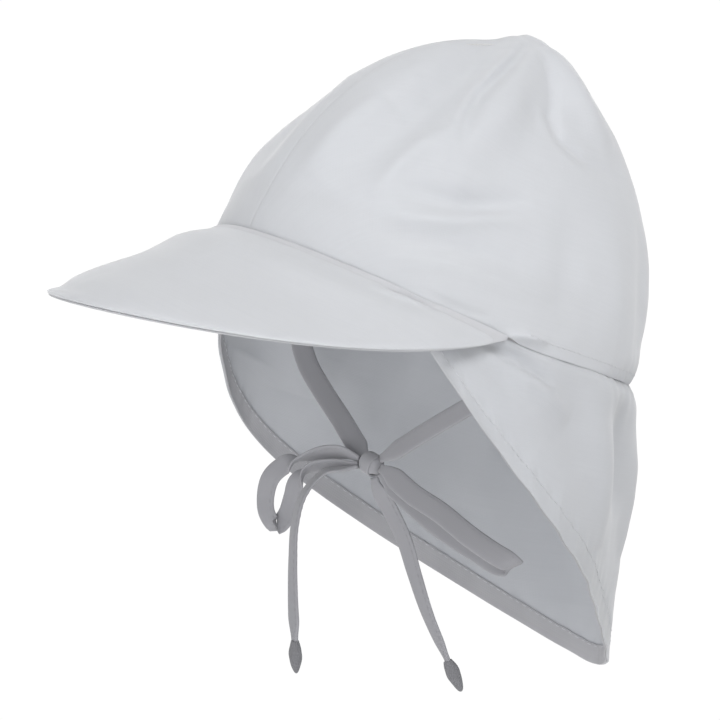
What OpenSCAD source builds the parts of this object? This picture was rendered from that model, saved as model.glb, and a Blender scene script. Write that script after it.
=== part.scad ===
// Infant flap sun hat: peaked two-panel crown, soft arched bill, one-piece neck flap and bow-tied chin ties.
// Millimetres, +Z up as worn, -Y is the front, +X is the wearer's left.
// The origin is the centre of the head opening. Angles around the opening run from the front (0)
// by the wearer's left (90) to the back (180).

/* [Head opening] */
// Half the width of the opening, ear to ear
opening_half_w = 70; // [56:1:86]
// Half the length of the opening in its own plane, brow to nape
opening_half_l = 87; // [72:1:105]
// Tilt of the opening, brow up and nape down, degrees
opening_tilt = 21; // [12:1:28]
// How far the seam arches up over the brow
brow_lift = 13; // [4:1:18]

/* [Crown] */
// Distance of the apex behind the ear line
apex_back = 49; // [38:1:60]
// Height of the apex over the middle of the opening
apex_up = 103; // [88:1:124]
// How long the wall climbs before it turns in, at the front, side and back
crown_rise = [86, 38, 74]; // [20:1:110]
// How far the wall leans out as it climbs, at the front, side and back
crown_lean = [-15, -2, 6]; // [-20:1:14]
// How far the roof reaches out of the apex, at the front, side and back
crown_reach = [20, 31, 29]; // [12:1:45]
// How far the roof falls in that reach, at the front, side and back
crown_fall = [0, 3, 27]; // [-4:1:35]

/* [Bill] */
// Angle from the front at which the bill ends in the seam
bill_half_angle = 78; // [68:1:84]
// How far the bill's edge runs outside its corners
bill_spread = 14; // [6:1:20]
// How far forward of the corners the bill's shoulders stand
bill_shoulder = 77; // [60:1:90]
// How far forward of the brow the bill's nose is pulled
bill_nose = 121; // [95:1:145]
// Half the width of that pull
bill_nose_half_w = 50; // [38:1:62]
// How far the bill's shoulders hang under its corners
bill_sag = 3; // [0:1:8]
// Rise of the bill's arch between seam and edge
bill_arch = 1.5; // [0:0.5:6]
// Thickness of the bill's foam interlining
foam_t = 1.2; // [0.8:0.1:2]

/* [Neck flap] */
// Angle from the front at which the flap starts, under the bill
flap_half_angle = 46; // [40:1:60]
// How far the flap hangs under the middle of the opening
flap_drop = 146; // [120:1:176]
// How far the flap stands outside the opening at the jaw
flap_spread = 52; // [36:1:60]
// Swell of the flap between seam and hem
flap_swell = 3; // [0:0.5:6]
// Width of the hem's facing
hem_w = 8; // [5:0.5:10]

/* [Cloth and trim] */
// Thickness of one layer of cloth
cloth_t = 1.0; // [0.8:0.1:1.2]
// Clearance between layers
layer_gap = 0.3; // [0.3:0.05:0.4]
// Thickness of tapes, bands and facings
tape_t = 0.7; // [0.5:0.1:0.9]
// Height of the sweatband
sweatband_h = 22; // [16:1:28]
// Height of the casing at the nape
casing_h = 12; // [10:1:16]
// Width of the elastic in the casing
elastic_w = 6; // [4:1:8]
// Width of the tape over the crown's centre seam
seam_tape_w = 8; // [6:1:10]

/* [Chin ties] */
// Width of a tie
tie_w = 8; // [6:0.5:9]
// Thickness of a tie
tie_t = 1.6; // [1.2:0.1:2]
// Radius of the bow's knot
knot_r = 4.8; // [4.2:0.1:5.4]
// Angle around the opening at which a tie is sewn in
tie_angle = 88; // [84:1:94]
// Length of the knot at a tail's end
tip_len = 11; // [8:1:14]
// Radius of the knot at a tail's end
tip_r = 2.8; // [2.2:0.1:3.2]

/* [Hidden] */

cloth_white = [0.85, 0.86, 0.88];
lining_white = [0.80, 0.80, 0.82];
tie_grey = [0.62, 0.62, 0.66];
trim_white = [0.90, 0.90, 0.90];

// Steps along and across the cut pieces
crown_steps = [30, 14];
bill_steps = [24, 6];
flap_steps = [36, 9];
band_step_angle = 6;

// The seam is taken in by this much on each side of the crown's middle
seam_take = 0.1;
// The crown's cloth ends this near to the apex, where the seams bunch
apex_stop = 0.985;
// The bill and the flap taper out before their sharp corners
bill_corner_stop = 0.96;
flap_corner_stop = 0.95;
// The bill's layers start this far outside the crown
bill_stand_off = 0.7;
// The flap starts this far under the crown's edge
flap_stand_off = 0.5;
// Share of the bill's depth that the foam fills
foam_span = 0.93;
// The tape over the centre seam lies this far under the crown, and covers this share of each meridian
seam_tape_drop = 1.9;
seam_tape_span = [0.14, 0.84];
seam_tape_steps = [1, 14];
// Angles that the sweatband, the nape casing and its elastic cover
sweatband_half_angle = 102;
casing_half_angle = 72;
elastic_half_angle = 66;
sweatband_rows = 3;
// How sharply the seam's arch rises to the middle of the brow
brow_power = 1.5;

// The flap's edge leaves its front corner in this direction
flap_corner_pull = [47, 21, -79];
// The edge is pulled this far behind the ear line at the jaw
flap_jaw_back = 6;
// Shares of the flap's drop at which the edge is pulled out at the jaw and in under it
flap_jaw_share = 0.5;
flap_tuck_share = 0.54;
// The pull under the jaw lies this far inside the opening's side
flap_tuck = 3;
// Half the width of the flap's flat bottom, and how far it stands behind the opening
flap_bottom_half_w = 24;
flap_bottom_back = 1;
// The hem takes no more than this share of the flap's depth
hem_share_most = 0.6;

// The knot of the bow and the routes of the ties, chosen by hand
knot = [0, -25, -50];
strap_left = [[11, -22, -43], [22, -18, -35], [40, -12.5, -23]];
strap_right = [[-12, -22, -46], [-27, -18, -39], [-44, -14, -31], [-57, -11, -23]];
// The last leg of each strap, from its sewn end
strap_left_leg = [-9.2, -5.3, -12.8];
strap_right_leg = [-0.8, -5.3, -13.8];
loop_right_side = [[-9, -29, -47], [-16, -32, -47], [-27, -38, -50.5], [-36, -42, -54], [-41.5, -45, -61],
                   [-43, -46, -70], [-40, -45, -77.5], [-35, -42, -79], [-31.5, -40, -70], [-28, -38, -61],
                   [-20, -35, -54.5], [-9, -29.5, -51.5]];
loop_left_side = [[9, -23.5, -51], [30, -17, -60], [44, -14, -68], [55, -11, -73.5], [63, -9, -77.5],
                  [64.5, -9, -81], [61, -10, -84], [54, -11, -84.5], [39, -15, -77.5], [24, -19, -69],
                  [9, -22.5, -56.5]];
tail_right_side = [[-7, -32, -55], [-12, -37, -59], [-18, -43, -68], [-20, -45, -77], [-20.5, -46, -87],
                   [-21, -46, -103], [-20.5, -46, -118]];
tail_left_side = [[4, -25, -58], [8, -22, -66], [13, -20, -77], [16, -19, -88], [22, -17, -104],
                  [28, -14, -119]];
// Direction of a tie's width along each route
strap_width_dir = [0.1, -0.3, 0.95];
loop_right_width_dir = [0.44, -0.9, 0];
loop_left_width_dir = [-0.24, 0.97, 0];
tail_right_width_dir = [0.75, -0.65, 0];
tail_left_width_dir = [1, 0, 0];
// A tie is gathered to this share of its width where it enters the knot
gather = 0.42;
tube_sides = 8;
// The stitched bar that holds a tie in the seam
tack_size = [2.2, tie_w + 1, 4];
// The knot at a tail's end: its neck's share of its radius, and the arc of its round end
tip_neck = 0.45;
tip_arc = [-50:20:90];
// Steps in u and v for a surface's slope
probe = [0.01, 0.001];

function unit(v) = v / norm(v);
function mix(a, b, t) = a + (b - a) * t;
function mirrored(p) = [-p[0], p[1], p[2]];

// Point of a Bezier curve with any number of control points
function bezier(p, t) = len(p) == 1 ? p[0]
    : bezier([for (i = [0:len(p) - 2]) mix(p[i], p[i + 1], t)], t);

// A value that goes from front to side to back around the opening
function around(v, a) = v[1] + (v[0] - v[1]) * pow(max(cos(a), 0), 2)
    + (v[2] - v[1]) * pow(max(-cos(a), 0), 2);

opening_up = [0, sin(opening_tilt), cos(opening_tilt)];
function out_of_opening(a) = [sin(a), -cos(a) * cos(opening_tilt), cos(a) * sin(opening_tilt)];
function level_out(a) = [sin(a), -cos(a), 0];

// The seam around the head opening
function rim(a) = [
    opening_half_w * sin(a),
    -opening_half_l * cos(a) * cos(opening_tilt),
    opening_half_l * cos(a) * sin(opening_tilt) + brow_lift * pow(max(cos(a), 0), brow_power)
];

apex = [0, apex_back, apex_up];
// The crown: a meridian climbs from the seam at angle a (v = 0) to the apex (v = 1)
function crown_point(a, v) = bezier([
    rim(a),
    rim(a) + around(crown_rise, a) * opening_up + around(crown_lean, a) * out_of_opening(a),
    apex + around(crown_reach, a) * level_out(a) - [0, 0, around(crown_fall, a)],
    apex
], v);
// The share of a meridian that climbs a height h from the seam
function climb(a, h) = h / (3 * around(crown_rise, a));

// The bill: from the seam (v = 0) to its edge (v = 1), s = 1 at the wearer's left corner
bill_corner = rim(bill_half_angle);
bill_shoulder_pull = bill_corner + [bill_spread, -bill_shoulder, -bill_sag];
bill_nose_pull = [bill_nose_half_w, rim(0)[1] - bill_nose, rim(0)[2]];
bill_edge_half = [bill_corner, bill_shoulder_pull, bill_nose_pull];
bill_edge_pulls = concat([for (p = bill_edge_half) mirrored(p)],
                         [for (i = [2:-1:0]) bill_edge_half[i]]);
function bill_edge(s) = bezier(bill_edge_pulls, (s + 1) / 2);
function bill_root(s) = rim(s * bill_half_angle) + bill_stand_off * out_of_opening(s * bill_half_angle);
function bill_point(s, v) = mix(bill_root(s), bill_edge(s), v)
    + [0, 0, bill_arch * 4 * v * (1 - v) * (1 - s * s)];

// The neck flap: a is measured from the back, v = 0 at the seam and v = 1 at the hem
flap_span = 180 - flap_half_angle;
flap_corner = rim(flap_half_angle);
flap_edge_pulls = [
    flap_corner,
    flap_corner + flap_corner_pull,
    [opening_half_w + flap_spread, flap_jaw_back, -flap_drop * flap_jaw_share],
    [opening_half_w - flap_tuck, 0, -flap_drop * flap_tuck_share],
    [flap_bottom_half_w, opening_half_l + flap_bottom_back, -flap_drop],
    [0, opening_half_l + flap_bottom_back, -flap_drop]
];
function flap_edge(a) = let (p = bezier(flap_edge_pulls, 1 - abs(a) / flap_span)) a < 0 ? mirrored(p) : p;
function flap_top(a) = rim(180 - a) - flap_stand_off * opening_up;
function flap_point(a, v) = mix(flap_top(a), flap_edge(a), v)
    + flap_swell * 4 * v * (1 - v) * (1 - pow(a / flap_span, 2)) * level_out(180 - a);
// The share of the flap's depth that its hem takes
function hem_share(a) = min(hem_share_most, hem_w / norm(flap_edge(a) - flap_top(a)));

// A point of surface f moved d along its normal
function off(f, u, v, d) = f(u, v) + d * unit(cross(
    f(u + probe[0], v) - f(u - probe[0], v),
    f(u, v + probe[1]) - f(u, v - probe[1])
));

// Faces of a closed sheet between two grids of points, m rows of n, as triangles
function sheet_faces(m, n) = let (
    k = m * n,
    quads = concat(
        [for (i = [0:m - 2], j = [0:n - 2]) let (p = i * n + j) [p, p + 1, p + n + 1, p + n]],
        [for (i = [0:m - 2], j = [0:n - 2]) let (p = k + i * n + j) [p, p + n, p + n + 1, p + 1]],
        [for (i = [0:m - 2]) let (p = i * n) [p, p + n, k + p + n, k + p]],
        [for (i = [0:m - 2]) let (p = i * n + n - 1) [k + p, k + p + n, p + n, p]],
        [for (j = [0:n - 2]) [j + 1, j, k + j, k + j + 1]],
        [for (j = [0:n - 2]) let (p = (m - 1) * n + j) [p, p + 1, k + p + 1, k + p]]
    ))
    [for (q = quads) each [[q[0], q[1], q[2]], [q[0], q[2], q[3]]]];

// Where a route leaves the knot on its way to point p
function at_knot(p) = knot + (knot_r + layer_gap) * unit(p - knot);
function from_knot(route) = concat([at_knot(route[0])], route);
function looped(route) = concat(from_knot(route), [at_knot(route[len(route) - 1])]);
function sewn_in(route, end, leg) = concat(from_knot(route), [end + leg, end]);

// A sheet of cloth on surface f, from d0 to d1 along its normal, u and v from 0 to 1
module sheet(f, steps, d0, d1) {
    grid = [for (i = [0:steps[0]]) for (j = [0:steps[1]]) [i / steps[0], j / steps[1]]];
    points = concat([for (g = grid) off(f, g[0], g[1], d1)], [for (g = grid) off(f, g[0], g[1], d0)]);
    polyhedron(points, sheet_faces(steps[0] + 1, steps[1] + 1), convexity = 6);
}

// A flat tube along a route that starts at the knot: its width lies along wide, and is gathered at the knot
module tie_tube(route, wide, back_to_knot = false) {
    last = len(route) - 1;
    points = [for (i = [0:last]) let (
            half_w = tie_w / 2 * (i == 0 || (back_to_knot && i == last) ? gather : 1),
            along = unit(route[min(i + 1, last)] - route[max(i - 1, 0)]),
            side = unit(wide - (wide * along) * along),
            face = cross(along, side))
        for (k = [0:tube_sides - 1]) let (a = 360 * k / tube_sides)
            route[i] + half_w * cos(a) * side + tie_t / 2 * sin(a) * face];
    walls = [for (i = [0:last - 1], k = [0:tube_sides - 1]) let (
            p = i * tube_sides + k,
            q = i * tube_sides + (k + 1) % tube_sides)
        each [[p, p + tube_sides, q + tube_sides], [p, q + tube_sides, q]]];
    caps = [[for (k = [0:tube_sides - 1]) k], [for (k = [tube_sides - 1:-1:0]) last * tube_sides + k]];
    polyhedron(points, concat(caps, walls), convexity = 6);
}

module crown_half() {
    color(cloth_white) translate([seam_take, 0, 0])
        sheet(function (u, v) crown_point(180 * u, apex_stop * v), crown_steps, -cloth_t, 0);
}

module crown_left() {
    crown_half();
}

module crown_right() {
    mirror([1, 0, 0]) crown_half();
}

module seam_tape(a) {
    color(trim_white)
        sheet(function (u, v) crown_point(a, mix(seam_tape_span[0], seam_tape_span[1], v))
                  + [(u - 0.5) * seam_tape_w * (a == 0 ? 1 : -1), 0, 0],
              seam_tape_steps, -seam_tape_drop - tape_t, -seam_tape_drop);
}

module seam_tape_front() {
    seam_tape(0);
}

module seam_tape_back() {
    seam_tape(180);
}

// A band inside the crown around middle, between two heights, depth counted in from the crown's inside
module inner_band(middle, half_angle, low, high, depth, rows) {
    sheet(function (u, v) let (a = middle + half_angle * (2 * u - 1))
              crown_point(a, climb(a, mix(low, high, v))),
          [2 * half_angle / band_step_angle, rows], -cloth_t - depth - tape_t, -cloth_t - depth);
}

module sweatband() {
    color(trim_white)
        inner_band(0, sweatband_half_angle, 0, sweatband_h, layer_gap, sweatband_rows);
}

module nape_elastic() {
    middle = casing_h / 2;
    color("white")
        inner_band(180, elastic_half_angle, middle - elastic_w / 2, middle + elastic_w / 2, layer_gap, 1);
}

module nape_casing() {
    color(trim_white)
        inner_band(180, casing_half_angle, 0, casing_h, 2 * layer_gap + tape_t, 1);
}

// A layer of the bill from height d0 to d1 over its arch
module bill_layer(d0, d1, depth) {
    sheet(function (u, v) bill_point(bill_corner_stop * (1 - 2 * u), depth * v), bill_steps, d0, d1);
}

foam_low = cloth_t + 2 * layer_gap;
top_low = foam_low + foam_t + layer_gap;

module bill_under() {
    color(lining_white) bill_layer(layer_gap, layer_gap + cloth_t, 1);
}

module bill_foam() {
    color("white") bill_layer(foam_low, foam_low + foam_t, foam_span);
}

module bill_top() {
    color(cloth_white) bill_layer(top_low, top_low + cloth_t, 1);
}

module neck_flap() {
    color(cloth_white)
        sheet(function (u, v) flap_point(flap_corner_stop * flap_span * (2 * u - 1), v),
              flap_steps, -cloth_t, 0);
}

module flap_hem() {
    depth = cloth_t + layer_gap;
    color(lining_white)
        sheet(function (u, v) let (a = flap_corner_stop * flap_span * (2 * u - 1))
                  flap_point(a, 1 - hem_share(a) * (1 - v)),
              [flap_steps[0], 1], -depth - tape_t, -depth);
}

// Where a tie is sewn into the seam: the middle of its bar tack
tack_depth = cloth_t + 2 * layer_gap + tape_t + tack_size[0] / 2;
tack_point = rim(tie_angle) - tack_depth * out_of_opening(tie_angle) - [0, 0, tack_size[2] / 2 + layer_gap];
// The tie's end stands off the tack by its own slant
tie_start = tack_point - [tack_size[0] / 2 + layer_gap + tie_w / 4, 0, 0];

module bartack() {
    color("whitesmoke") translate(tack_point - tack_size / 2) cube(tack_size);
}

module bartack_left() {
    bartack();
}

module bartack_right() {
    mirror([1, 0, 0]) bartack();
}

module tie_left() {
    color(tie_grey) tie_tube(sewn_in(strap_left, tie_start, strap_left_leg), strap_width_dir);
}

module tie_right() {
    color(tie_grey) tie_tube(sewn_in(strap_right, mirrored(tie_start), strap_right_leg), strap_width_dir);
}

module bow_knot() {
    color(tie_grey) translate(knot) sphere(r = knot_r, $fn = 48);
}

module bow_loop_left() {
    color(tie_grey) tie_tube(looped(loop_left_side), loop_left_width_dir, true);
}

module bow_loop_right() {
    color(tie_grey) tie_tube(looped(loop_right_side), loop_right_width_dir, true);
}

module tie_tail_left() {
    color(tie_grey) tie_tube(from_knot(tail_left_side), tail_left_width_dir);
}

module tie_tail_right() {
    color(tie_grey) tie_tube(from_knot(tail_right_side), tail_right_width_dir);
}

// The knot at the end of a route: a drop that hangs on along its last stretch
module tail_knot(route) {
    last = len(route) - 1;
    along = unit(route[last] - route[last - 1]);
    turn = acos(along[2]);
    axis = cross([0, 0, 1], along);
    color(tie_grey) translate(route[last] + layer_gap * along) rotate(turn, axis)
        rotate_extrude($fn = 32)
            polygon(concat([[0, 0], [tip_neck * tip_r, 0]],
                [for (a = tip_arc) [tip_r * cos(a), tip_len - tip_r + tip_r * sin(a)]]));
}

module tail_knot_left() {
    tail_knot(tail_left_side);
}

module tail_knot_right() {
    tail_knot(tail_right_side);
}

crown_left();
crown_right();
seam_tape_front();
seam_tape_back();
sweatband();
nape_casing();
nape_elastic();
bill_top();
bill_foam();
bill_under();
neck_flap();
flap_hem();
bartack_left();
bartack_right();
tie_left();
tie_right();
bow_knot();
bow_loop_left();
bow_loop_right();
tie_tail_left();
tie_tail_right();
tail_knot_left();
tail_knot_right();
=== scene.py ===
"""Infant flap sun hat in white cotton: crown, soft bill, neck flap and chin ties.

Metres, +Z up as worn, -Y is the front, +X is the wearer's left. The origin is the centre of the head opening.
Angles around the opening run in degrees from the front (0) by the wearer's left (90) to the back (180).
"""

import math

import bmesh
import bpy
import numpy as np
from mathutils import Matrix, Vector, noise


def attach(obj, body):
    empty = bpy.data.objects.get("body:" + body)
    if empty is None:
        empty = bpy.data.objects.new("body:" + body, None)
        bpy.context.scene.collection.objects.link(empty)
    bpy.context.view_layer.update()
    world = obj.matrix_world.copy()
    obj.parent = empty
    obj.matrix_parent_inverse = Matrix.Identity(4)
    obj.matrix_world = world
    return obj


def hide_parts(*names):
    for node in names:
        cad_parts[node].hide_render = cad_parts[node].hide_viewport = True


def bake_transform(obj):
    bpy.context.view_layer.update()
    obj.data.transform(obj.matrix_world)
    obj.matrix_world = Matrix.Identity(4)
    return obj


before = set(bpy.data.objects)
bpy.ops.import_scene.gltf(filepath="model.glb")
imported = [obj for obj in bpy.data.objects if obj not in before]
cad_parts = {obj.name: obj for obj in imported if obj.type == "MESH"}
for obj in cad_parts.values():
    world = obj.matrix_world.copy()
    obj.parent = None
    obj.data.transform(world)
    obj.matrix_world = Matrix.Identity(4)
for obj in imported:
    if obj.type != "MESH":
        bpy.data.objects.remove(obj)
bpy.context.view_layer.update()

MM = 0.001

# The driving sizes, as in the frame. The flap hangs 1.5 mm lower here, the bill and the flap run on a little
# nearer to their corners, and the ties are 0.1 mm thinner.
OPENING_HALF_W = 70 * MM
OPENING_HALF_L = 87 * MM
OPENING_TILT = math.radians(21)
BROW_LIFT = 13 * MM
BROW_POWER = 1.5
APEX = np.array([0, 49, 103]) * MM
CROWN_RISE = np.array([86, 38, 74]) * MM
CROWN_LEAN = np.array([-15, -2, 6]) * MM
CROWN_REACH = np.array([20, 31, 29]) * MM
CROWN_FALL = np.array([0, 3, 27]) * MM
BILL_HALF_ANGLE = 78
BILL_SHOULDER_PULL = np.array([14, -77, -3]) * MM
BILL_NOSE = 121 * MM
BILL_NOSE_HALF_W = 50 * MM
BILL_ARCH = 1.5 * MM
BILL_STAND_OFF = 0.7 * MM
BILL_CORNER_STOP = 0.985
FLAP_HALF_ANGLE = 46
FLAP_SPAN = 180 - FLAP_HALF_ANGLE
FLAP_CORNER_PULL = np.array([47, 21, -79]) * MM
FLAP_JAW = np.array([122, 6, -73]) * MM
FLAP_TUCK = np.array([67, 0, -78.84]) * MM
FLAP_BOTTOM = np.array([24.5, 88, -147.5]) * MM
FLAP_SWELL = 3 * MM
FLAP_STAND_OFF = 0.5 * MM
FLAP_CORNER_STOP = 0.965
HEM_WIDTH = 8 * MM
HEM_SHARE_MOST = 0.6
KNOT = np.array([0, -25, -50]) * MM
KNOT_RADIUS = 4.8 * MM
KNOT_GAP = 0.3 * MM
TIE_WIDTH = 8 * MM
TIE_THICKNESS = 1.5 * MM
TIE_GATHER = 0.42
TIE_START = np.array([63.16, -2.72, -1.17]) * MM
TACK = np.array([66.56, -2.72, -1.17]) * MM
TACK_SIZE = np.array([2.2, 9, 4]) * MM
TIP_LENGTH = 11 * MM
TIP_RADIUS = 2.8 * MM

# Thicknesses as drawn: poplin of about 0.3 mm gets 0.7 mm, so that its turned edges look full
CLOTH = 0.7 * MM
TAPE = 0.6 * MM
# What lies inside the crown starts this far in from its outer face, with a gap
LAYER = 1.0 * MM
GAP = 0.3 * MM

OPENING_UP = np.array([0, math.sin(OPENING_TILT), math.cos(OPENING_TILT)])
UP = np.array([0, 0, 1.0])

# Routes of the ties in millimetres, from the knot outwards. The straps lie as in the frame. The loops and
# tails lie within about 6 mm of it, with the left loop pressed flat.
STRAP_LEFT = [(11, -22, -43), (22, -18, -35), (40, -12.5, -23), (53.96, -8.02, -13.97)]
STRAP_RIGHT = [(-12, -22, -46), (-27, -18, -39), (-44, -14, -31), (-57, -11, -23), (-63.96, -8.02, -14.97)]
LOOP_RIGHT_SIDE = [
    (-10, -29.5, -47), (-16.5, -32.5, -47.5), (-25.5, -37, -51), (-33, -40.5, -54.5), (-38, -43, -60),
    (-40.5, -43.5, -68), (-39.5, -43.5, -74), (-36, -42, -78), (-32.5, -40, -74), (-30, -39, -67),
    (-27.5, -38.5, -60), (-21, -36, -54), (-9, -29.5, -51.5),
]
LOOP_LEFT_SIDE = [
    (9, -24.5, -51.5), (21.5, -23, -57.5), (34, -20, -62.5), (47.5, -17.5, -69), (57.5, -14, -74),
    (62, -10.5, -77), (60.5, -8, -79), (55, -9.5, -79.5), (44.5, -14, -74.5), (31.5, -18.5, -68.5),
    (19, -21, -62), (8, -23, -55.5),
]
TAIL_RIGHT_SIDE = [
    (-7, -31.5, -52), (-14, -36, -54), (-18.5, -42, -62), (-20.5, -45, -74), (-20.5, -46, -87),
    (-20.5, -46, -103), (-19.5, -46, -118.5),
]
TAIL_LEFT_SIDE = [
    (3.5, -25.5, -57.5), (7.5, -22.5, -66), (13, -20, -77), (17, -18.5, -89), (22.5, -16.5, -104),
    (29.5, -12.5, -121),
]


# Surfaces of the hat

def unit(vector):
    return vector / np.linalg.norm(vector, axis=-1, keepdims=True)


def bezier(points, t):
    """Point of a Bezier curve with any number of control points."""
    points = [np.asarray(p, float) for p in points]
    while len(points) > 1:
        points = [a + (b - a) * t for a, b in zip(points, points[1:])]
    return points[0]


def around(values, angle):
    """A value that goes from front to side to back around the opening."""
    c = np.cos(np.radians(angle))
    front, side, back = values
    value = side + (front - side) * np.maximum(c, 0) ** 2 + (back - side) * np.maximum(-c, 0) ** 2
    return value[..., None]


def level_out(angle):
    a = np.radians(angle)
    return np.stack([np.sin(a), -np.cos(a), 0 * a], -1)


def out_of_opening(angle):
    a = np.radians(angle)
    tilted = np.cos(a)
    return np.stack([np.sin(a), -tilted * math.cos(OPENING_TILT), tilted * math.sin(OPENING_TILT)], -1)


def rim(angle):
    """The seam around the head opening."""
    a = np.radians(np.asarray(angle, float))
    x = OPENING_HALF_W * np.sin(a)
    y = -OPENING_HALF_L * np.cos(a) * math.cos(OPENING_TILT)
    brow = BROW_LIFT * np.maximum(np.cos(a), 0) ** BROW_POWER
    z = OPENING_HALF_L * np.cos(a) * math.sin(OPENING_TILT) + brow
    return np.stack([x, y, z], -1)


def crown_base(angle, climb):
    """A meridian climbs from the seam (0) to the apex (1)."""
    foot = rim(angle)
    rise = foot + around(CROWN_RISE, angle) * OPENING_UP + around(CROWN_LEAN, angle) * out_of_opening(angle)
    roof = APEX + around(CROWN_REACH, angle) * level_out(angle) - around(CROWN_FALL, angle) * UP
    return bezier([foot, rise, roof, APEX + 0 * foot], climb[..., None])


def climb_share(angle, height):
    """The share of a meridian that climbs this height from the seam."""
    return height / (3 * around(CROWN_RISE, angle)[..., 0])


def bill_edge(s):
    corner = rim(BILL_HALF_ANGLE)
    nose = np.array([BILL_NOSE_HALF_W, rim(0)[1] - BILL_NOSE, rim(0)[2]])
    half = [corner, corner + BILL_SHOULDER_PULL, nose]
    other = [p * np.array([-1, 1, 1]) for p in half]
    return bezier(other + half[::-1], ((s + 1) / 2)[..., None])


def bill_base(s, depth):
    """From the seam (0) to the bill's edge (1); s is 1 at the wearer's left corner."""
    root = rim(s * BILL_HALF_ANGLE) + BILL_STAND_OFF * out_of_opening(s * BILL_HALF_ANGLE)
    point = root + (bill_edge(s) - root) * depth[..., None]
    arch = BILL_ARCH * 4 * depth * (1 - depth) * (1 - s * s)
    return point + arch[..., None] * UP


def flap_edge(angle):
    """The flap's free edge; the angle runs from the back (0) to both front corners."""
    corner = rim(FLAP_HALF_ANGLE)
    back_middle = FLAP_BOTTOM * np.array([0, 1, 1])
    pulls = [corner, corner + FLAP_CORNER_PULL, FLAP_JAW, FLAP_TUCK, FLAP_BOTTOM, back_middle]
    edge = bezier(pulls, (1 - np.abs(angle) / FLAP_SPAN)[..., None])
    edge[..., 0] *= np.where(angle < 0, -1, 1)
    return edge


def flap_top(angle):
    return rim(180 - angle) - FLAP_STAND_OFF * OPENING_UP


def flap_base(angle, drop):
    """From the seam (0) to the hem (1)."""
    top = flap_top(angle)
    swell = FLAP_SWELL * 4 * drop * (1 - drop) * (1 - (angle / FLAP_SPAN) ** 2)
    return top + (flap_edge(angle) - top) * drop[..., None] + swell[..., None] * level_out(180 - angle)


def normals_of(surface, u, v, away_from):
    """Unit normals of a surface, pointing away from a point."""
    step_u, step_v = 0.01, 0.0005
    across = surface(u + step_u, v) - surface(u - step_u, v)
    along = surface(u, v + step_v) - surface(u, v - step_v)
    normal = np.cross(across, along)
    normal /= np.maximum(np.linalg.norm(normal, axis=-1, keepdims=True), 1e-12)
    facing = np.sum(normal * (surface(u, v) - away_from), -1, keepdims=True)
    return normal * np.where(facing < 0, -1, 1)


# Folds and wrinkles

def polyline_gap(points, line):
    """Distance from points to a line of points, and the share of the line where the nearest place is."""
    steps = np.linalg.norm(np.diff(line, axis=0), axis=1)
    starts = np.concatenate([[0], np.cumsum(steps)])
    nearest = np.full(points.shape[:-1], 1e9)
    share = np.zeros(points.shape[:-1])
    for a, b, before, step in zip(line, line[1:], starts, steps):
        t = np.clip((points - a) @ (b - a) / step**2, 0, 1)
        gap = np.linalg.norm(points - a - t[..., None] * (b - a), axis=-1)
        closer = gap < nearest
        nearest = np.where(closer, gap, nearest)
        share = np.where(closer, (before + t * step) / starts[-1], share)
    return nearest, share


def fold_relief(points, folds):
    """Height of the folds at each point. A fold is its line, its height and its half width."""
    height = np.zeros(points.shape[:-1])
    for line, rise, half_width in folds:
        gap, share = polyline_gap(points, line)
        taper = np.sin(np.pi * np.clip(share, 0.02, 0.98)) ** 0.7
        height += rise * taper * np.exp(-((gap / half_width) ** 2))
    return height


def unevenness(points, size, seed):
    """Smooth random height between about -1 and 1, the same on each run."""
    shift = Vector((seed * 7.3, seed * 3.1, seed * 5.7))
    flat = points.reshape(-1, 3) / size
    values = [noise.noise(Vector(p) + shift) for p in flat]
    return np.array(values).reshape(points.shape[:-1])


# The depth of a fold of rise 1. A rise is over 0 for a ridge and under 0 for a valley.
FOLD_DEPTH = 2.2 * MM


def fold_on(surface, places, rise, half_width, steps=6):
    """A fold whose line runs over a surface through (angle, share) places; half_width is in millimetres."""
    places = np.array(places, float)
    t = np.linspace(0, len(places) - 1, (len(places) - 1) * steps + 1)
    index = np.arange(len(places))
    u = np.interp(t, index, places[:, 0])
    v = np.interp(t, index, places[:, 1])
    return surface(u, v), rise * FOLD_DEPTH, half_width * MM


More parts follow.
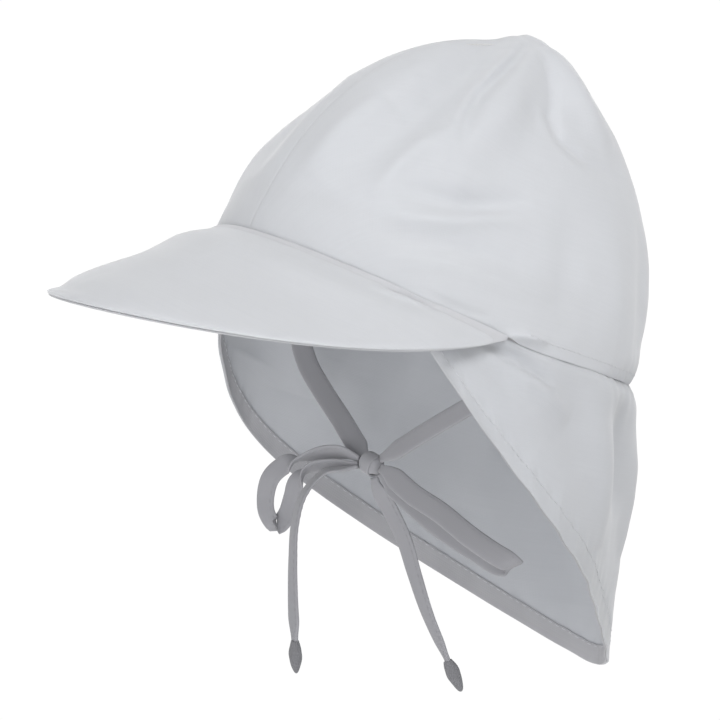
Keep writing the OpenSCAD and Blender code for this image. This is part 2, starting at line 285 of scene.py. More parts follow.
CROWN_CENTRE = np.array([0, 0, 30]) * MM
CROWN_FOLDS_LEFT = [
    # The front plane sinks behind a broad ridge that climbs to the apex
    fold_on(crown_base, [(8, 0.92), (16, 0.86), (24, 0.76), (31, 0.64), (33, 0.50), (30, 0.34), (24, 0.2),
                         (18, 0.1)], -2.1, 9.5),
    fold_on(crown_base, [(30, 0.93), (38, 0.88), (45, 0.78), (44, 0.66), (43, 0.54), (43, 0.4),
                         (46, 0.3)], 1.1, 5),
    fold_on(crown_base, [(44, 0.94), (51, 0.84), (50, 0.73), (47, 0.61), (45.5, 0.52), (46, 0.43),
                         (48, 0.36)], -1.5, 2.6),
    fold_on(crown_base, [(56, 0.95), (64, 0.80), (60, 0.66), (56, 0.52), (52, 0.38), (48, 0.26)], 2.0, 9),
    fold_on(crown_base, [(60, 0.96), (68, 0.92), (77, 0.85), (83, 0.75), (84, 0.69), (81, 0.61), (86, 0.55),
                         (100, 0.51), (114, 0.49), (126, 0.46)], -0.8, 3.2),
    fold_on(crown_base, [(70, 0.95), (74, 0.84), (74, 0.72), (70, 0.6), (72, 0.5)], -0.9, 8),
    fold_on(crown_base, [(100, 0.90), (104, 0.74), (112, 0.62), (128, 0.55)], 1.5, 8),
    fold_on(crown_base, [(38, 0.17), (46, 0.205), (55, 0.24), (65, 0.30), (76, 0.37)], -1.5, 4.6),
    fold_on(crown_base, [(36, 0.12), (45, 0.14), (54.5, 0.185), (64, 0.25), (74, 0.31)], 1.1, 3.2),
    fold_on(crown_base, [(36, 0.07), (46, 0.09), (56, 0.13), (66, 0.17), (78, 0.2)], -0.6, 4),
    fold_on(crown_base, [(42, 0.05), (50, 0.07), (58, 0.10), (68, 0.12), (80, 0.13)], 0.5, 3.6),
    fold_on(crown_base, [(34, 0.12), (35, 0.2), (38, 0.3), (44, 0.38)], 1.0, 4),
    fold_on(crown_base, [(10, 0.10), (14, 0.22), (18, 0.34)], 1.4, 9),
    fold_on(crown_base, [(92, 0.05), (92, 0.20), (90, 0.36)], -0.6, 9),
    fold_on(crown_base, [(116, 0.06), (114, 0.22), (110, 0.40)], 0.8, 10),
    fold_on(crown_base, [(134, 0.05), (132, 0.20), (136, 0.40)], -0.9, 8),
    fold_on(crown_base, [(160, 0.10), (158, 0.30), (162, 0.60)], -1.0, 9),
    # Pucker over the bill's corner
    fold_on(crown_base, [(54, 0.02), (60, 0.015), (66, 0.02), (72, 0.03)], -0.4, 1.3),
    fold_on(crown_base, [(76, 0.0), (80, 0.02), (85, 0.03), (89, 0.03)], 1.0, 1.8),
]
CROWN_FOLDS_RIGHT = [
    fold_on(crown_base, [(10, 0.92), (22, 0.76), (30, 0.60), (33, 0.42)], -1.8, 7),
    fold_on(crown_base, [(48, 0.84), (52, 0.68), (50, 0.50), (56, 0.36)], -1.2, 3),
    fold_on(crown_base, [(66, 0.84), (64, 0.66), (66, 0.48)], 1.4, 8),
    fold_on(crown_base, [(84, 0.88), (92, 0.74), (94, 0.62), (106, 0.53), (120, 0.50)], -1.3, 3),
    fold_on(crown_base, [(52, 0.16), (62, 0.21), (74, 0.28)], -1.6, 5),
    fold_on(crown_base, [(64, 0.08), (76, 0.11), (88, 0.12)], -1.2, 5),
    fold_on(crown_base, [(16, 0.08), (18, 0.24), (22, 0.38)], -1.2, 9),
    fold_on(crown_base, [(34, 0.05), (36, 0.18), (40, 0.30)], 1.2, 8),
    fold_on(crown_base, [(112, 0.06), (108, 0.24), (112, 0.42)], -1.1, 9),
    fold_on(crown_base, [(140, 0.05), (138, 0.22), (142, 0.44)], 1.1, 9),
    fold_on(crown_base, [(164, 0.08), (160, 0.32), (164, 0.58)], -1.0, 9),
]
# The elastic gathers the cloth this far to both sides of the back, in ripples this far apart
NAPE_GATHER_ANGLE = 70
GATHER_PITCH = 9 * MM
GATHER_FADE_ANGLE = 14
GATHER_HEIGHT = 0.32 * MM
# Cloth puffs out beside a seam and dips into it
PUFF_FROM_SEAM = 7 * MM
PUFF_HALF_WIDTH = 6 * MM
SEAM_DIP_WIDTH = 1.6 * MM
# The folds of both sides of the crown run into each other this close to its middle seam
FOLDS_MEET = 14 * MM
# A fold fades out over this last share of the way to the apex
APEX_FADE = 0.06


def ripples(length, pitch, seed):
    """Uneven ripples along a length."""
    wander = np.sin(length / (3.7 * pitch) + seed) + 0.6 * np.sin(length / (1.9 * pitch) + 2.3 * seed)
    height = 0.75 + 0.25 * np.sin(length / (2.6 * pitch) + seed)
    return np.sin(2 * np.pi * length / pitch + 1.6 * wander) * height


def rim_length(angle):
    """Rough length along the seam."""
    return np.radians(angle) * (OPENING_HALF_W + OPENING_HALF_L) / 2


def crown_shape(angle, climb, side=1, inward=0.0):
    """The sewn crown: its smooth form with its seams, folds and gathers, moved in by a depth."""
    angle, climb = np.broadcast_arrays(np.asarray(angle, float), np.asarray(climb, float))
    base = crown_base(angle, climb)
    out = normals_of(crown_base, angle, climb, CROWN_CENTRE)
    height_up = climb * 3 * around(CROWN_RISE, angle)[..., 0]
    seam_gap = np.abs(base[..., 0])
    own = fold_relief(base, CROWN_FOLDS_LEFT if side > 0 else CROWN_FOLDS_RIGHT)
    own += 0.7 * MM * unevenness(base, 30 * MM, 1 + side) + 0.22 * MM * unevenness(base, 9 * MM, 4 + side)
    both = (fold_relief(base, CROWN_FOLDS_LEFT) + fold_relief(base, CROWN_FOLDS_RIGHT)) / 2
    join = np.clip(seam_gap / FOLDS_MEET, 0, 1)
    relief = both + (own - both) * join * join * (3 - 2 * join)
    # The middle seam stands out more at the back than at the front
    sharp = 0.06 + 0.24 * np.clip((angle - 60) / 60, 0, 1)
    ridge = np.exp(-((seam_gap / (3 * MM)) ** 2))
    groove = np.exp(-((seam_gap / (0.8 * MM)) ** 2))
    relief += sharp * MM * (ridge - 0.8 * groove)
    nape = np.clip((angle - (180 - NAPE_GATHER_ANGLE)) / GATHER_FADE_ANGLE, 0, 1)
    gathers = ripples(rim_length(angle), GATHER_PITCH, side)
    relief += nape * GATHER_HEIGHT * gathers * np.exp(-height_up / (9 * MM))
    puff = 1.4 * MM * np.exp(-(((height_up - PUFF_FROM_SEAM) / PUFF_HALF_WIDTH) ** 2))
    dip = 0.9 * MM * np.exp(-height_up / SEAM_DIP_WIDTH)
    relief += (puff - dip) * (0.15 + 0.5 * nape)
    fade = np.clip((1 - climb) / APEX_FADE, 0, 1)
    point = base + out * (relief * fade - inward)[..., None]
    point[..., 0] = np.maximum(point[..., 0], 0) * side
    return point


FLAP_CENTRE = np.array([0, 10, -60]) * MM
FLAP_FOLDS = [
    fold_on(flap_base, [(110, 0.10), (105, 0.085), (100, 0.10), (95, 0.14), (90, 0.20)], -2.2, 4),
    fold_on(flap_base, [(116, 0.30), (108, 0.30), (100, 0.34)], -1.2, 6),
    fold_on(flap_base, [(104, 0.20), (97, 0.22), (90, 0.28), (84, 0.34)], 1.6, 6),
    fold_on(flap_base, [(92, 0.24), (86, 0.42), (80, 0.64)], -0.6, 12),
    fold_on(flap_base, [(74, 0.06), (70, 0.30), (66, 0.62), (64, 0.86)], 1.8, 11),
    fold_on(flap_base, [(56, 0.05), (52, 0.30), (48, 0.62)], -1.8, 10),
    fold_on(flap_base, [(36, 0.04), (34, 0.30), (32, 0.70)], 1.6, 11),
    fold_on(flap_base, [(14, 0.05), (14, 0.40), (12, 0.80)], -1.8, 11),
    fold_on(flap_base, [(-10, 0.04), (-10, 0.40), (-10, 0.85)], 1.8, 11),
    fold_on(flap_base, [(-32, 0.05), (-34, 0.30), (-36, 0.70)], -1.8, 11),
    fold_on(flap_base, [(-54, 0.05), (-56, 0.30), (-58, 0.70)], 1.6, 11),
    fold_on(flap_base, [(-78, 0.08), (-80, 0.30), (-80, 0.60)], -1.6, 11),
    fold_on(flap_base, [(-92, 0.24), (-98, 0.40), (-100, 0.62)], 1.4, 10),
    fold_on(flap_base, [(-110, 0.10), (-104, 0.09), (-98, 0.12), (-92, 0.18)], -1.8, 4),
]


# A rough radius of the flap's free edge, for lengths along it
FLAP_EDGE_RADIUS = 130 * MM
# The flap's front edges curl in by this much, within this distance of the hem's fold
EDGE_CURL = 2.2 * MM
EDGE_CURL_WIDTH = 6 * MM
# The flap tucks in under the crown's turned edge
SEAM_TUCK = 0.5 * MM


def hem_share(angle):
    depth = np.linalg.norm(flap_edge(angle) - flap_top(angle), axis=-1)
    return np.minimum(HEM_SHARE_MOST, HEM_WIDTH / depth)


def flap_shape(angle, drop, inward=0.0):
    """The hanging flap: gathered at the nape, puckered along the hem's stitching."""
    angle, drop = np.broadcast_arrays(np.asarray(angle, float), np.asarray(drop, float))
    base = flap_base(angle, drop)
    out = normals_of(flap_base, angle, drop, FLAP_CENTRE)
    depth = np.linalg.norm(flap_edge(angle) - flap_top(angle), axis=-1)
    down = drop * depth
    from_hem = (1 - drop) * depth
    relief = fold_relief(base, FLAP_FOLDS)
    relief += 0.9 * MM * unevenness(base, 32 * MM, 9) + 0.25 * MM * unevenness(base, 10 * MM, 11)
    gather_end = NAPE_GATHER_ANGLE + 8
    nape = np.clip((gather_end - np.abs(angle)) / GATHER_FADE_ANGLE, 0, 1)
    gathers = ripples(rim_length(angle + 180), GATHER_PITCH, 2)
    relief += nape * GATHER_HEIGHT * gathers * np.exp(-down / (12 * MM))
    puff = 1.2 * MM * np.exp(-(((down - PUFF_FROM_SEAM) / PUFF_HALF_WIDTH) ** 2))
    dip = 0.8 * MM * np.exp(-down / SEAM_DIP_WIDTH)
    relief += (puff - dip) * nape
    edge_length = np.radians(angle) * FLAP_EDGE_RADIUS
    beside_stitches = np.exp(-(((from_hem - HEM_WIDTH) / (4 * MM)) ** 2))
    relief += 0.35 * MM * ripples(edge_length, 11 * MM, 5) * beside_stitches
    relief += 0.45 * MM * ripples(edge_length, 26 * MM, 3) * np.exp(-from_hem / (9 * MM))
    front = np.clip((np.abs(angle) - 55) / 25, 0, 1)
    relief -= front * EDGE_CURL * np.exp(-from_hem / EDGE_CURL_WIDTH)
    calm = np.clip(down / (3 * MM), 0, 1)
    calm = np.where(np.abs(angle) > gather_end, calm, 1)
    tuck = SEAM_TUCK * np.exp(-((down / (2.5 * MM)) ** 4))
    return base + out * (relief * calm - tuck - inward)[..., None]


# A point far below the bill, so that its upper face looks up everywhere
BILL_CENTRE = np.array([0, -100, -1000]) * MM
BILL_MIDDLE = 2.2 * MM
BILL_HALF = 1.9 * MM
BILL_PLY = 0.6 * MM
# Both faces round off to the edge over this width
BILL_ROLL = 4 * MM
# How thick the bill still is at its edge, as a share
BILL_EDGE_SHARE = 0.5
# How far its middle sags, and its nose droops
BILL_SAG = 1.5 * MM
BILL_DROOP = 3.0 * MM
# The bill is thinnest at its root, where it is sewn flush to the crown
BILL_ROOT = 18 * MM
BILL_ROOT_SHARE = 0.1
BILL_FOLDS = [
    fold_on(bill_base, [(0.58, 0.10), (0.64, 0.06), (0.70, 0.05), (0.76, 0.06)], -0.7, 1.6),
    fold_on(bill_base, [(0.56, 0.14), (0.64, 0.12), (0.72, 0.12)], 0.5, 1.8),
    fold_on(bill_base, [(0.1, 0.30), (0.35, 0.45), (0.6, 0.50)], -0.8, 14),
    fold_on(bill_base, [(-0.6, 0.50), (-0.3, 0.45), (0, 0.30)], -0.8, 14),
    fold_on(bill_base, [(-0.1, 0.80), (0.1, 0.86), (0.3, 0.88)], 0.7, 9),
    fold_on(bill_base, [(-0.62, 0.94), (-0.35, 0.94), (-0.12, 0.93), (0.04, 0.90)], -0.6, 4),
]


def bill_shape(s, depth, half, ply=0.0):
    """A face of the bill at a height over its middle; both faces roll to the edge and meet there."""
    s, depth = np.broadcast_arrays(np.asarray(s, float), np.asarray(depth, float))
    base = bill_base(s, depth)
    out = normals_of(bill_base, s, depth, BILL_CENTRE)
    reach = np.linalg.norm(bill_edge(s) - bill_base(s, 0 * depth), axis=-1)
    thin = 1 - (1 - BILL_EDGE_SHARE) * depth
    half = half * thin
    from_edge = (1 - depth) * reach
    roll = np.sqrt(1 - (1 - np.clip(from_edge / BILL_ROLL, 0, 1)) ** 2)
    relief = fold_relief(base, BILL_FOLDS) + 0.35 * MM * unevenness(base, 26 * MM, 14)
    from_root = np.clip(depth * reach / BILL_ROOT, 0, 1)
    rise = BILL_ROOT_SHARE + (1 - BILL_ROOT_SHARE) * from_root * from_root * (3 - 2 * from_root)
    height = rise * (BILL_MIDDLE * thin + ply + half * roll) + relief * roll
    base[..., 2] -= (BILL_DROOP * depth + BILL_SAG * 4 * depth * (1 - depth)) * (1 - s * s)
    return base + out * height[..., None]


# Making meshes

def grid_lengths(points):
    """Real lengths along both directions of a grid of points, for a weave that keeps its thread spacing."""
    middle = points[:, points.shape[1] // 2]
    u = np.concatenate([[0], np.cumsum(np.linalg.norm(np.diff(middle, axis=0), axis=1))])
    steps = np.linalg.norm(np.diff(points, axis=1), axis=2)
    v = np.concatenate([np.zeros((len(points), 1)), np.cumsum(steps, axis=1)], axis=1)
    return np.stack([np.broadcast_to(u[:, None], v.shape), v], -1)


def link(name, mesh, material):
    piece = bpy.data.objects.new(name, mesh)
    bpy.context.scene.collection.objects.link(piece)
    mesh.materials.clear()
    mesh.materials.append(material)
    for face in mesh.polygons:
        face.use_smooth = True
    return piece


def grid_bmesh(points, uv, out):
    """A sheet on a grid of points, its faces turned the way out says."""
    rows, cols = points.shape[:2]
    bm = bmesh.new()
    uv_layer = bm.loops.layers.uv.new("UVMap")
    bmesh.ops.create_grid(bm, x_segments=cols - 1, y_segments=rows - 1, size=1.0)
    place = {}
    for vert in bm.verts:
        i = round((vert.co.y + 1) / 2 * (rows - 1))
        j = round((vert.co.x + 1) / 2 * (cols - 1))
        place[vert] = (i, j)
        vert.co = points[i, j]
    for face in bm.faces:
        for loop in face.loops:
            loop[uv_layer].uv = uv[place[loop.vert]]
    bm.normal_update()
    votes = 0
    for face in bm.faces:
        votes += face.normal.dot(Vector(out[place[face.loops[0].vert]])) * face.calc_area()
    if votes < 0:
        bmesh.ops.reverse_faces(bm, faces=bm.faces[:])
    bmesh.ops.remove_doubles(bm, verts=bm.verts[:], dist=0.02 * MM)
    return bm


def finished(piece):
    """The piece with its modifiers applied."""
    depsgraph = bpy.context.evaluated_depsgraph_get()
    mesh = bpy.data.meshes.new_from_object(piece.evaluated_get(depsgraph))
    piece.modifiers.clear()
    piece.data = mesh
    return piece


def cloth_piece(name, points, out, material, thickness=CLOTH, uv=None, rounding=0.22):
    """A sheet of cloth: points are its outer face, and its thickness goes inwards with soft edges."""
    bm = grid_bmesh(points, grid_lengths(points) if uv is None else uv, out)
    mesh = bpy.data.meshes.new(name)
    bm.to_mesh(mesh)
    bm.free()
    piece = link(name, mesh, material)
    solid = piece.modifiers.new("thickness", "SOLIDIFY")
    solid.thickness = thickness
    solid.offset = -1
    solid.use_even_offset = False
    edge = piece.modifiers.new("soft edge", "BEVEL")
    edge.width = rounding * thickness
    edge.segments = 2
    edge.limit_method = "ANGLE"
    edge.angle_limit = math.radians(65)
    return finished(piece)


def smooth_line(points, spacing=1.0 * MM):
    """An even curve through given points (centripetal Catmull-Rom)."""
    points = np.array(points, float)
    ends = [2 * points[0] - points[1], *points, 2 * points[-1] - points[-2]]
    curve = []
    for a, b, c, d in zip(ends, ends[1:], ends[2:], ends[3:]):
        steps = [max(np.linalg.norm(q - p), 1e-6) ** 0.5 for p, q in ((a, b), (b, c), (c, d))]
        knots = np.cumsum([0] + steps)
        for t in np.linspace(knots[1], knots[2], 24, endpoint=False):
            level = [a, b, c, d]
            for size in (1, 2):
                level = [
                    (p * (knots[i + size] - t) + q * (t - knots[i])) / (knots[i + size] - knots[i])
                    for i, (p, q) in enumerate(zip(level, level[1:]))
                ]
            p, q = level
            curve.append((p * (knots[2] - t) + q * (t - knots[1])) / (knots[2] - knots[1]))
    curve.append(points[-1])
    curve = np.array(curve)
    lengths = np.concatenate([[0], np.cumsum(np.linalg.norm(np.diff(curve, axis=0), axis=1))])
    even = np.linspace(0, lengths[-1], max(8, round(lengths[-1] / spacing)))
    return np.stack([np.interp(even, lengths, curve[:, k]) for k in range(3)], -1)


def line_length(line):
    return float(np.sum(np.linalg.norm(np.diff(line, axis=0), axis=1)))


def strip_frames(line, wide):
    """Directions across a strip's width and out of its face, along a line.

    wide is one direction of the width, or several that are spread evenly along the line.
    """
    along = unit(np.gradient(line, axis=0))
    wide = np.atleast_2d(np.asarray(wide, float))
    t = np.linspace(0, len(wide) - 1, len(line))
    wide = np.stack([np.interp(t, np.arange(len(wide)), wide[:, k]) for k in range(3)], -1)
    side = unit(wide - np.sum(wide * along, -1, keepdims=True) * along)
    return side, np.cross(along, side)


SECTION_POINTS = 20


def strip(name, line, wide, widths, thicknesses, material):
    """A flat sewn tie swept along a line: both edges are a little fuller where the cloth is folded in."""
    side, face = strip_frames(line, wide)
    angles = np.linspace(0, 2 * np.pi, SECTION_POINTS + 1)
    c, s = np.cos(angles), np.sin(angles)
    across = np.sign(c) * np.abs(c) ** 0.7
    up = np.sign(s) * np.abs(s) ** 0.8 * (0.82 + 0.3 * np.abs(across) ** 3)
    points = (line[:, None] + side[:, None] * (across[:, None] * 0.5) * widths[:, None, None]
              + face[:, None] * (up[:, None] * 0.5) * thicknesses[:, None, None])
    bm = grid_bmesh(points, grid_lengths(points), points - line[:, None])
    ends = [e for e in bm.edges if e.is_boundary]
    bmesh.ops.holes_fill(bm, edges=ends)
    caps = [f for f in bm.faces if len(f.verts) > 4]
    result = bmesh.ops.inset_region(bm, faces=caps, thickness=0.2 * MM)
    bmesh.ops.triangulate(bm, faces=caps + [f for f in result["faces"] if len(f.verts) > 4])
    bmesh.ops.recalc_face_normals(bm, faces=bm.faces[:])
    mesh = bpy.data.meshes.new(name)
    bm.to_mesh(mesh)
    bm.free()
    return link(name, mesh, material)


def at_length(data, lengths, place):
    """The value of a row of vectors at a length along it."""
    return Vector([np.interp(place, lengths, data[:, k]) for k in range(3)])


def stitches(name, rows, material, pitch=3.0 * MM, length=2.1 * MM, thread=0.34 * MM):
    """Rows of lock stitches. A row is a line of points on the cloth and the directions out of it."""
    bm = bmesh.new()
    for line, out in rows:
        lengths = np.concatenate([[0], np.cumsum(np.linalg.norm(np.diff(line, axis=0), axis=1))])
        count = max(1, int(lengths[-1] / pitch))
        for middle in (np.arange(count) + 0.5) * lengths[-1] / count:
            at = at_length(line, lengths, middle)
            up = at_length(out, lengths, middle)
            ahead = at_length(line, lengths, middle + length / 2)
            behind = at_length(line, lengths, middle - length / 2)
            along = (ahead - behind).normalized()
            up = (up - up.dot(along) * along).normalized()
            turn = Matrix((along, along.cross(up) * -1, up)).transposed().to_4x4()
            size = Matrix.Diagonal((length / 2, thread / 2, thread / 2, 1))
            bmesh.ops.create_uvsphere(
                bm, u_segments=6, v_segments=4, radius=1.0, matrix=Matrix.Translation(at) @ turn @ size
            )
    mesh = bpy.data.meshes.new(name)
    bmesh.ops.recalc_face_normals(bm, faces=bm.faces[:])
    bm.to_mesh(mesh)
    bm.free()
    return link(name, mesh, material)


# Materials

def linear(hex_colour):
    """An sRGB hex colour as a linear one."""
    channels = [int(hex_colour[i : i + 2], 16) / 255 for i in (1, 3, 5)]
    return [c / 12.92 if c <= 0.04045 else ((c + 0.055) / 1.055) ** 2.4 for c in channels] + [1.0]


def add(tree, kind, inputs=None, **settings):
    """Adds a node with its settings; an input is a value or another node's output."""
    made = tree.nodes.new(kind)
    for key, value in settings.items():
        setattr(made, key, value)
    for key, value in (inputs or {}).items():
        if isinstance(value, bpy.types.NodeSocket):
            tree.links.new(value, made.inputs[key])
        else:
            made.inputs[key].default_value = value
    return made


def band_scale(spacing):
    """The Wave Texture's scale for bands this far apart."""
    return math.pi / (10 * spacing)


# Slubs are thicker stretches of thread: this long, and a few threads wide
SLUB_LENGTH = 26 * MM
SLUB_WIDTH = 0.9 * MM
MOTTLE = 30 * MM
WEAVE_HEIGHT = 0.25 * MM
# How far light spreads inside the cloth
LIGHT_SPREAD = 1.6 * MM


def woven(name, colour, shade, spacing, roughness=0.85, sheen=0.3, bump=0.14, thin=0.5):
    """Cotton cloth: a fine plain weave, a soft dull face and thread-to-thread colour variation."""
    material = bpy.data.materials.new(name)
    material.use_nodes = True
    tree = material.node_tree
    tree.nodes.clear()
    place = add(tree, "ShaderNodeTexCoord").outputs["UV"]
    threads = {"Vector": place, "Scale": band_scale(spacing), "Distortion": 0.6, "Detail": 1.0,
               "Detail Scale": 0.2}
    warp = add(tree, "ShaderNodeTexWave", threads, bands_direction="X")
    weft = add(tree, "ShaderNodeTexWave", threads, bands_direction="Y")
    weave = add(tree, "ShaderNodeMath", {0: warp.outputs["Fac"], 1: weft.outputs["Fac"]},
                operation="MULTIPLY")
    slub_place = add(tree, "ShaderNodeMapping", {"Vector": place,
                                                 "Scale": (1 / SLUB_LENGTH, 1 / SLUB_WIDTH, 1)})
    slub = add(tree, "ShaderNodeTexNoise", {"Vector": slub_place.outputs[0], "Scale": 1.0, "Detail": 2.0})
    cloud = add(tree, "ShaderNodeTexNoise", {"Vector": place, "Scale": 1 / MOTTLE, "Detail": 3.0})
    both = add(tree, "ShaderNodeMath", {0: slub.outputs["Fac"], 1: cloud.outputs["Fac"]}, operation="ADD")
    tone = add(tree, "ShaderNodeMapRange", {"Value": both.outputs[0], "From Min": 0.5, "From Max": 1.5})
    dyed = add(tree, "ShaderNodeMix", {"Factor": tone.outputs[0], "A": linear(shade), "B": linear(colour)},
               data_type="RGBA")
    relief = add(tree, "ShaderNodeMath", {0: slub.outputs["Fac"], 1: 0.6, 2: weave.outputs[0]},
                 operation="MULTIPLY_ADD")
    raised = add(tree, "ShaderNodeBump", {"Height": relief.outputs[0], "Strength": bump,
                                          "Distance": WEAVE_HEIGHT})
    shader = add(tree, "ShaderNodeBsdfPrincipled", {
        "Base Color": dyed.outputs["Result"], "Normal": raised.outputs[0], "Roughness": roughness,
        "IOR": 1.5, "Specular IOR Level": 0.25, "Sheen Weight": sheen, "Sheen Roughness": 0.5,
        "Subsurface Weight": thin, "Subsurface Radius": (1.0, 1.0, 1.0), "Subsurface Scale": LIGHT_SPREAD,
    })
    output = add(tree, "ShaderNodeOutputMaterial")
    tree.links.new(shader.outputs[0], output.inputs["Surface"])
    return material


# Washed cotton poplin, white with a cool cast: dull, with a soft sheen, and some light goes through it.
# Every white here is set a little low, because the lights are strong.
# Its threads are 0.2 mm apart, too fine to show, so its weave is drawn at 0.6 mm, at 0.9 mm on the hem, and
# at 0.5 mm on the ties and their knotted ends.
poplin = woven("cotton_poplin_white", "#CDCFD3", "#C9CBCF", 0.6 * MM, bump=0.1)
# The same poplin under the bill, drawn a little greyer: painted shade under the bill
lining = woven("cotton_poplin_lining", "#C8C9CD", "#C4C5C9", 0.6 * MM, bump=0.1)
# The flap's poplin lets more light through, and is drawn greyer than the crown's: painted shade
flap_cloth = woven("cotton_poplin_single", "#C1C3C7", "#BDBFC3", 0.6 * MM, bump=0.1, thin=0.6)
# Turned hem, three layers of poplin: hardly any light comes through, and it is drawn darker than the flap
# with painted shade
hem_cloth = woven("cotton_poplin_hem", "#B6B6BA", "#B0B0B4", 0.9 * MM, thin=0.05)
# Brushed cotton sweatband: softer and warmer, its 0.4 mm yarns drawn at 1.2 mm
brushed = woven("brushed_cotton_band", "#D6D5D2", "#CCCBC8", 1.2 * MM, sheen=0.5, bump=0.35)
# Woven cotton tape, tighter and a little glossier, its 0.3 mm threads drawn at 1 mm
tape_cloth = woven("cotton_seam_tape", "#DADADA", "#CFCFD0", 1.0 * MM, roughness=0.75, bump=0.4)
# Poplin ties, several layers thick. They are drawn grey: painted shade, as the ties look in shade and against
# the light.
tie_cloth = woven("cotton_poplin_tie", "#A8A8AD", "#A4A4A9", 0.5 * MM, thin=0.1, bump=0.1)
# Knotted tie ends, the same cloth pressed tight, drawn darker still with painted shade
tip_cloth = woven("cotton_poplin_knotted", "#88888C", "#808084", 0.5 * MM, thin=0.05, bump=0.15)
# Spun thread of the ties, drawn as dark as their cloth, with the same painted shade
tie_thread = woven("spun_thread_tie", "#A8A8AD", "#A2A2A7", 0.4 * MM, roughness=0.55, thin=0.0, bump=0.2)
# Knitted elastic: coarse and a little glossy
elastic_knit = woven("knitted_elastic", "#E2E2E0", "#D2D2D0", 1.4 * MM, roughness=0.7, bump=0.5)
# Open-cell foam interlining: off-white and quite dull
foam = woven("foam_interlining", "#E4E2DA", "#D8D6CE", 1.6 * MM, roughness=0.95, sheen=0.0, bump=0.5)
# Spun polyester thread of the seams, with a faint gloss
thread = woven("spun_thread_white", "#D0D2D6", "#CACCD0", 0.4 * MM, roughness=0.55, thin=0.0, bump=0.3)


# Camera

# A long lens from the wearer's front left, a little above the hat
CAMERA_EYE = (1.1346, -0.9320, 0.3067)
CAMERA_AIM = (-0.0129, -0.0202, -0.0136)
CAMERA_LENS = 202.8


def aimed(place, aim):
    return (Vector(aim) - Vector(place)).to_track_quat("-Z", "Y").to_euler()


camera_data = bpy.data.cameras.new("camera")
camera_data.lens = CAMERA_LENS
camera_data.sensor_width = 36
camera = bpy.data.objects.new("camera", camera_data)
camera.location = CAMERA_EYE
camera.rotation_euler = aimed(CAMERA_EYE, CAMERA_AIM)
bpy.context.scene.collection.objects.link(camera)
bpy.context.scene.camera = camera


# Chin ties

def off_knot(point):
    return KNOT + (KNOT_RADIUS + KNOT_GAP) * unit(np.asarray(point, float) - KNOT)


# Over this length a tie spreads from its gathered width to its full width
GATHER_LENGTH = 9 * MM


def tie_width(line, knotted_twice):
    """Widths and thicknesses of a strip that is gathered where it enters a knot, at one end or at both."""
    lengths = np.linspace(0, line_length(line), len(line))
    from_end = np.minimum(lengths, lengths[-1] - lengths) if knotted_twice else lengths
    spread = np.clip(from_end / GATHER_LENGTH, 0, 1)
    share = TIE_GATHER + (1 - TIE_GATHER) * spread * spread * (3 - 2 * spread)
    return TIE_WIDTH * share, TIE_THICKNESS * (1 + 0.5 * (1 - share))


# The stitch row lies this far from a tie's edge
TIE_ROW_INSET = 1.3 * MM


def make_tie(name, route, wide, body, back_to_knot=False, sewn_at=None):
    """A stretch of a tie from the knot along its route, and its stitch row on both faces."""
    places = [np.array(p) * MM for p in route]
    places = [off_knot(places[0])] + places
    if back_to_knot:
        places.append(off_knot(places[-1]))
    if sewn_at is not None:
        places.append(sewn_at)
    line = smooth_line(places)
    widths, thicknesses = tie_width(line, sewn_at is None)
    piece = strip(name + "_cloth", line, wide, widths, thicknesses, tie_cloth)
    side, face = strip_frames(line, wide)
    keep = slice(8, len(line) - (8 if back_to_knot else 2))
    row = (line + side * (widths * 0.5 - TIE_ROW_INSET)[:, None])[keep]
    half_thick = (thicknesses * 0.48)[keep, None]
    rows = [(row + way * face[keep] * half_thick, way * face[keep]) for way in (1, -1)]
    sewing = stitches(name + "_stitching", rows, tie_thread, thread=0.14 * MM)
    for made in (piece, sewing):
        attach(made, body)
    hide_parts(name)
    return piece, line


MIRROR_X = np.array([-1, 1, 1])
# Which way the strips lie wide. A loop's strip turns its face outwards at its bend.
LOOP_TOP = (0.51, -0.42, 0.75)
LOOP_BEND = (0.96, 0.25, 0.12)
LOOP_LEFT_FLAT = (0.27, 0.58, 0.77)
LOOP_LEFT_WIDE = [LOOP_LEFT_FLAT] * 4 + [(0.67, 0.61, 0.44)] + [LOOP_LEFT_FLAT] * 4
LOOP_RIGHT_WIDE = [LOOP_TOP] * 2 + [LOOP_BEND] * 4 + [LOOP_TOP] * 2
TAIL_RIGHT_WIDE = [(0.8, -0.6, 0.1), (0.93, -0.35, 0), (0.98, -0.12, 0)]
TAIL_LEFT_WIDE = [(0.93, 0.3, 0.2), (0.98, -0.2, 0)]
tie_left, left_line = make_tie("tie_left", STRAP_LEFT, (-0.88, 0.19, 0.42), "bow", sewn_at=TIE_START)
tie_right, right_line = make_tie("tie_right", STRAP_RIGHT, (0.43, 0.61, 0.28), "bow",
                                 sewn_at=TIE_START * MIRROR_X)
loop_right, loop_right_line = make_tie("bow_loop_right", LOOP_RIGHT_SIDE, LOOP_RIGHT_WIDE, "bow", True)
loop_left, loop_left_line = make_tie("bow_loop_left", LOOP_LEFT_SIDE, LOOP_LEFT_WIDE, "bow", True)
tail_right, tail_right_line = make_tie("tie_tail_right", TAIL_RIGHT_SIDE, TAIL_RIGHT_WIDE, "tail_right")
tail_left, tail_left_line = make_tie("tie_tail_left", TAIL_LEFT_SIDE, TAIL_LEFT_WIDE, "tail_left")


# The knotted ends are drawn a little longer and slimmer than the frame's, and start inside the tail
TIP_LONGER = 1.15
TIP_SLIMMER = 0.92
TIP_SUNK = 0.6 * MM


